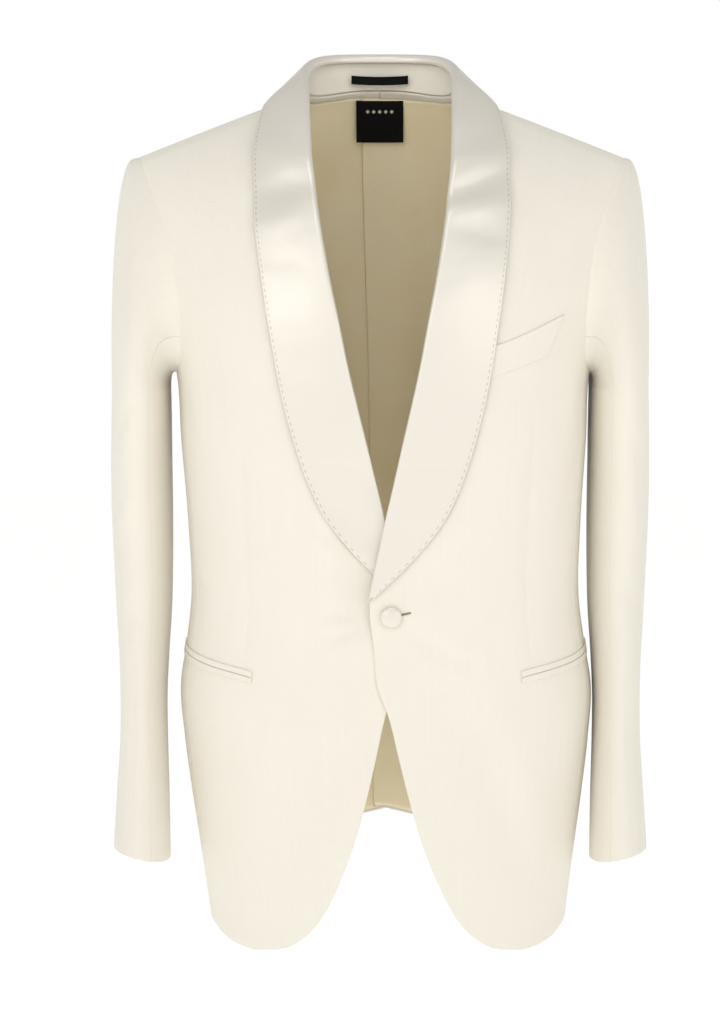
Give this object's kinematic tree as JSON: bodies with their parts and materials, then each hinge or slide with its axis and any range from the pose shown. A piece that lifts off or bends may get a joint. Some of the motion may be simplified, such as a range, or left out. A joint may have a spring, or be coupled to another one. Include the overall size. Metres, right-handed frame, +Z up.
{
  "type": "tuxedo jacket",
  "caption": "Ivory dinner jacket with satin shawl collar, covered front button, welt and jetted pockets, filled out as worn with no wearer",
  "frame": {"origin": "midway between the two points where the shoulder seams meet the neck, where a hanger or the wearer's shoulders hold the jacket", "axes": "+Z up; the front faces -Y; +X is the wearer's left"},
  "size_m": [0.504, 0.2651, 0.8261],
  "materials": {
    "ivory_wool": "matt wool barathea",
    "ivory_silk_satin": "silk satin with a soft sheen",
    "lining_twill": "smooth twill lining",
    "black_weave": "woven label and tape"
  },
  "bodies": {
    "root": {"front_left": "ivory_wool", "front_right": "ivory_wool", "side_panel_left": "ivory_wool", "side_panel_right": "ivory_wool", "back_left": "ivory_wool", "back_right": "ivory_wool", "back_lining_left": "lining_twill", "back_lining_right": "lining_twill", "top_sleeve_left": "ivory_wool", "top_sleeve_right": "ivory_wool", "under_sleeve_left": "ivory_wool", "under_sleeve_right": "ivory_wool", "shawl_left": "ivory_silk_satin", "shawl_right": "ivory_silk_satin", "collar_stand": "ivory_wool", "breast_welt": "ivory_wool", "hip_jet_upper_left": "ivory_wool", "hip_jet_lower_left": "ivory_wool", "hip_jet_upper_right": "ivory_wool", "hip_jet_lower_right": "ivory_wool", "button": "ivory_silk_satin", "hanger_loop": "black_weave", "label": "black_weave"}
  },
  "joints": []
}
